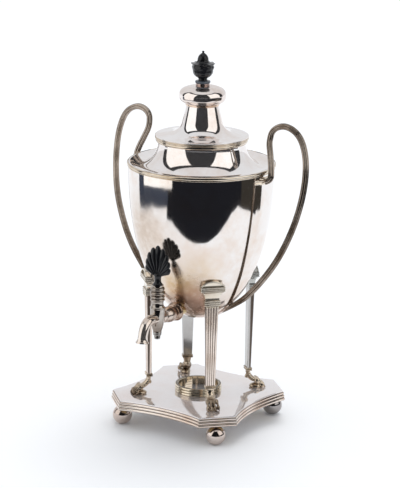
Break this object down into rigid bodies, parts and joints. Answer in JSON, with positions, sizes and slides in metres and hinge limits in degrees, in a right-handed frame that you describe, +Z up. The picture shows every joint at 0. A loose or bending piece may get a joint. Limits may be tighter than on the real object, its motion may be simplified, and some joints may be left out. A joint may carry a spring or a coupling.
{
  "type": "tea urn",
  "caption": "Silver-plated tea urn on paw-footed legs over a square base with a lamp ring, with loop handles, a lift-off lid and a plug tap with a shell key.",
  "frame": {"origin": "on the urn's axis, in the plane that the four ball feet stand on", "axes": "+Z up along the urn's axis, -Y towards the tap, +X and -X towards the handles"},
  "size_m": [0.2638, 0.2153, 0.44],
  "materials": {
    "silver_plate": "polished silver plate over brass, warm and lightly worn",
    "bare_brass": "dull brass",
    "worn_copper": "plate worn through to pink copper",
    "black_turned": "black turned and carved hardwood, waxed"
  },
  "bodies": {
    "urn": {"base_plate": "silver_plate", "base_moulding": "silver_plate", "corner_blocks": "bare_brass", "foot_studs": "bare_brass", "foot_nuts": "bare_brass", "burner_ring": "silver_plate", "leg_screws": "bare_brass", "foot_ball_1": "silver_plate", "foot_ball_2": "silver_plate", "foot_ball_3": "silver_plate", "foot_ball_4": "silver_plate", "leg_shaft_1": "silver_plate", "leg_capital_1": "silver_plate", "leg_foot_1": "silver_plate", "leg_shaft_2": "silver_plate", "leg_capital_2": "silver_plate", "leg_foot_2": "silver_plate", "leg_shaft_3": "silver_plate", "leg_capital_3": "silver_plate", "leg_foot_3": "silver_plate", "leg_shaft_4": "silver_plate", "leg_capital_4": "silver_plate", "leg_foot_4": "silver_plate", "body_bowl": "silver_plate", "body_rim": "silver_plate", "body_shoulder": "silver_plate", "mouth_ring": "silver_plate", "handle_left": "silver_plate", "handle_bracket_left": "silver_plate", "handle_leaf_left": "silver_plate", "handle_right": "silver_plate", "handle_bracket_right": "silver_plate", "handle_leaf_right": "silver_plate", "tap_socket": "bare_brass", "tap_rosette": "silver_plate", "tap_pipe": "silver_plate", "tap_barrel": "silver_plate", "tap_spout": "silver_plate"},
    "tap_key": {"tap_plug": "bare_brass", "tap_washer": "bare_brass", "tap_knob_nut": "silver_plate", "tap_key_shell": "black_turned"},
    "lid": {"lid_bezel": "silver_plate", "lid_dome": "silver_plate", "lid_bead": "silver_plate", "lid_bulb": "silver_plate", "finial_collar": "worn_copper", "finial_urn": "black_turned", "finial_tip": "black_turned", "finial_nut": "bare_brass", "finial_rod": "bare_brass"}
  },
  "joints": [
    {"name": "lid_lift", "type": "slide", "parent": "urn", "child": "lid", "axis": [0, 0, 1], "range_m": [0, 0.12]},
    {"name": "tap_turn", "type": "hinge", "parent": "urn", "child": "tap_key", "pos_m": [0, -0.09, 0.16], "axis": [0, 0, 1], "continuous": true}
  ]
}
